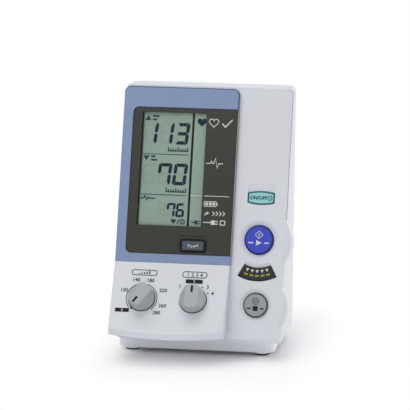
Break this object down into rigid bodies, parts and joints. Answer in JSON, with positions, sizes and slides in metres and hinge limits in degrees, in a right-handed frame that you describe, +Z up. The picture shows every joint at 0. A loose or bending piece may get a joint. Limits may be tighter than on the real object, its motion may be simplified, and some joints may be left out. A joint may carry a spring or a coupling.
{
  "type": "blood pressure monitor",
  "caption": "Upright desk-top blood pressure monitor with a leaning display block, a column of push buttons, turning dials and a recessed plinth on rubber feet.",
  "frame": {"origin": "on the table, under the centre of the bounding box", "axes": "+X to the viewer's right, +Y to the back, +Z up; the display and the buttons face -Y and lean back"},
  "size_m": [0.137, 0.1306, 0.2031],
  "materials": {
    "casing_plastic": "fine moulded grain",
    "bezel_plastic": "painted satin blue",
    "window_plastic": "polished dark tint",
    "lens_plastic": "polished clear",
    "lcd_glass": "reflective grey-green",
    "holder_plastic": "moulded",
    "start_plastic": "moulded satin",
    "stop_plastic": "moulded satin",
    "onoff_plastic": "moulded satin",
    "deflation_plastic": "moulded satin",
    "hide_plastic": "moulded satin",
    "knob_plastic": "moulded matt",
    "pointer_ink": "printed",
    "foot_rubber": "moulded",
    "mat_rubber": "moulded",
    "board_laminate": "solder mask",
    "chip_resin": "moulded",
    "steel": "plated",
    "hose_rubber": "extruded",
    "brass_fitting": "turned",
    "inner_plastic": "moulded",
    "cell_sleeve": "shrink sleeve",
    "plate_foil": "satin foil"
  },
  "bodies": {
    "casing": {"front_cover": "casing_plastic", "rear_cover": "casing_plastic", "plinth": "casing_plastic", "feet": "foot_rubber", "battery_pack": "cell_sleeve", "display_bezel": "bezel_plastic", "display_window": "window_plastic", "display_lens": "lens_plastic", "lcd_panel": "lcd_glass", "lcd_holder": "holder_plastic", "main_board": "board_laminate", "board_chips": "chip_resin", "buzzer": "chip_resin", "hide_dome": "steel", "control_board": "board_laminate", "keypad_mat": "mat_rubber", "case_screws": "steel", "base_screws": "steel", "board_screws": "steel", "preset_control": "inner_plastic", "mode_control": "inner_plastic", "dial_nuts": "steel", "air_connector": "inner_plastic", "connector_hose": "hose_rubber", "pump_hose": "hose_rubber", "manifold": "inner_plastic", "pressure_sensor": "chip_resin", "exhaust_valve": "steel", "pump_head": "inner_plastic", "pump_motor": "steel", "pump_bracket": "inner_plastic", "pump_straps": "steel", "power_inlet": "inner_plastic", "rating_plate": "plate_foil"},
    "start_key": {"start_button": "start_plastic"},
    "stop_key": {"stop_button": "stop_plastic"},
    "onoff_key": {"onoff_button": "onoff_plastic"},
    "deflation_key": {"deflation_button": "deflation_plastic"},
    "hide_key": {"hide_button": "hide_plastic"},
    "preset_dial": {"preset_knob": "knob_plastic", "preset_pointer": "pointer_ink", "preset_shaft": "steel"},
    "mode_dial": {"mode_knob": "knob_plastic", "mode_pointer": "pointer_ink", "mode_shaft": "steel"},
    "battery_door": {"battery_cover": "casing_plastic"}
  },
  "joints": [
    {"name": "start_press", "type": "slide", "parent": "casing", "child": "start_key", "axis": [0, 0.9409, -0.3387], "range_m": [0, 0.0012], "stiffness_N_per_m": 600},
    {"name": "stop_press", "type": "slide", "parent": "casing", "child": "stop_key", "axis": [0, 0.9409, -0.3387], "range_m": [0, 0.0012], "stiffness_N_per_m": 600},
    {"name": "onoff_press", "type": "slide", "parent": "casing", "child": "onoff_key", "axis": [0, 0.9409, -0.3387], "range_m": [0, 0.0012], "stiffness_N_per_m": 600},
    {"name": "deflation_press", "type": "slide", "parent": "casing", "child": "deflation_key", "axis": [0, 0.9409, -0.3387], "range_m": [0, 0.0012], "stiffness_N_per_m": 600},
    {"name": "hide_press", "type": "slide", "parent": "casing", "child": "hide_key", "axis": [0, 0.9409, -0.3387], "range_m": [0, 0.001], "stiffness_N_per_m": 600},
    {"name": "preset_turn", "type": "hinge", "parent": "casing", "child": "preset_dial", "pos_m": [-0.04425, -0.0394, 0.04697], "axis": [0, 0.8135, -0.5816], "range_deg": [0, 282.5]},
    {"name": "mode_turn", "type": "hinge", "parent": "casing", "child": "mode_dial", "pos_m": [-0.00425, -0.0394, 0.04697], "axis": [0, 0.8135, -0.5816], "range_deg": [-30, 60]},
    {"name": "battery_slide", "type": "slide", "parent": "casing", "child": "battery_door", "axis": [0, 1, 0], "range_m": [0, 0.046]}
  ]
}
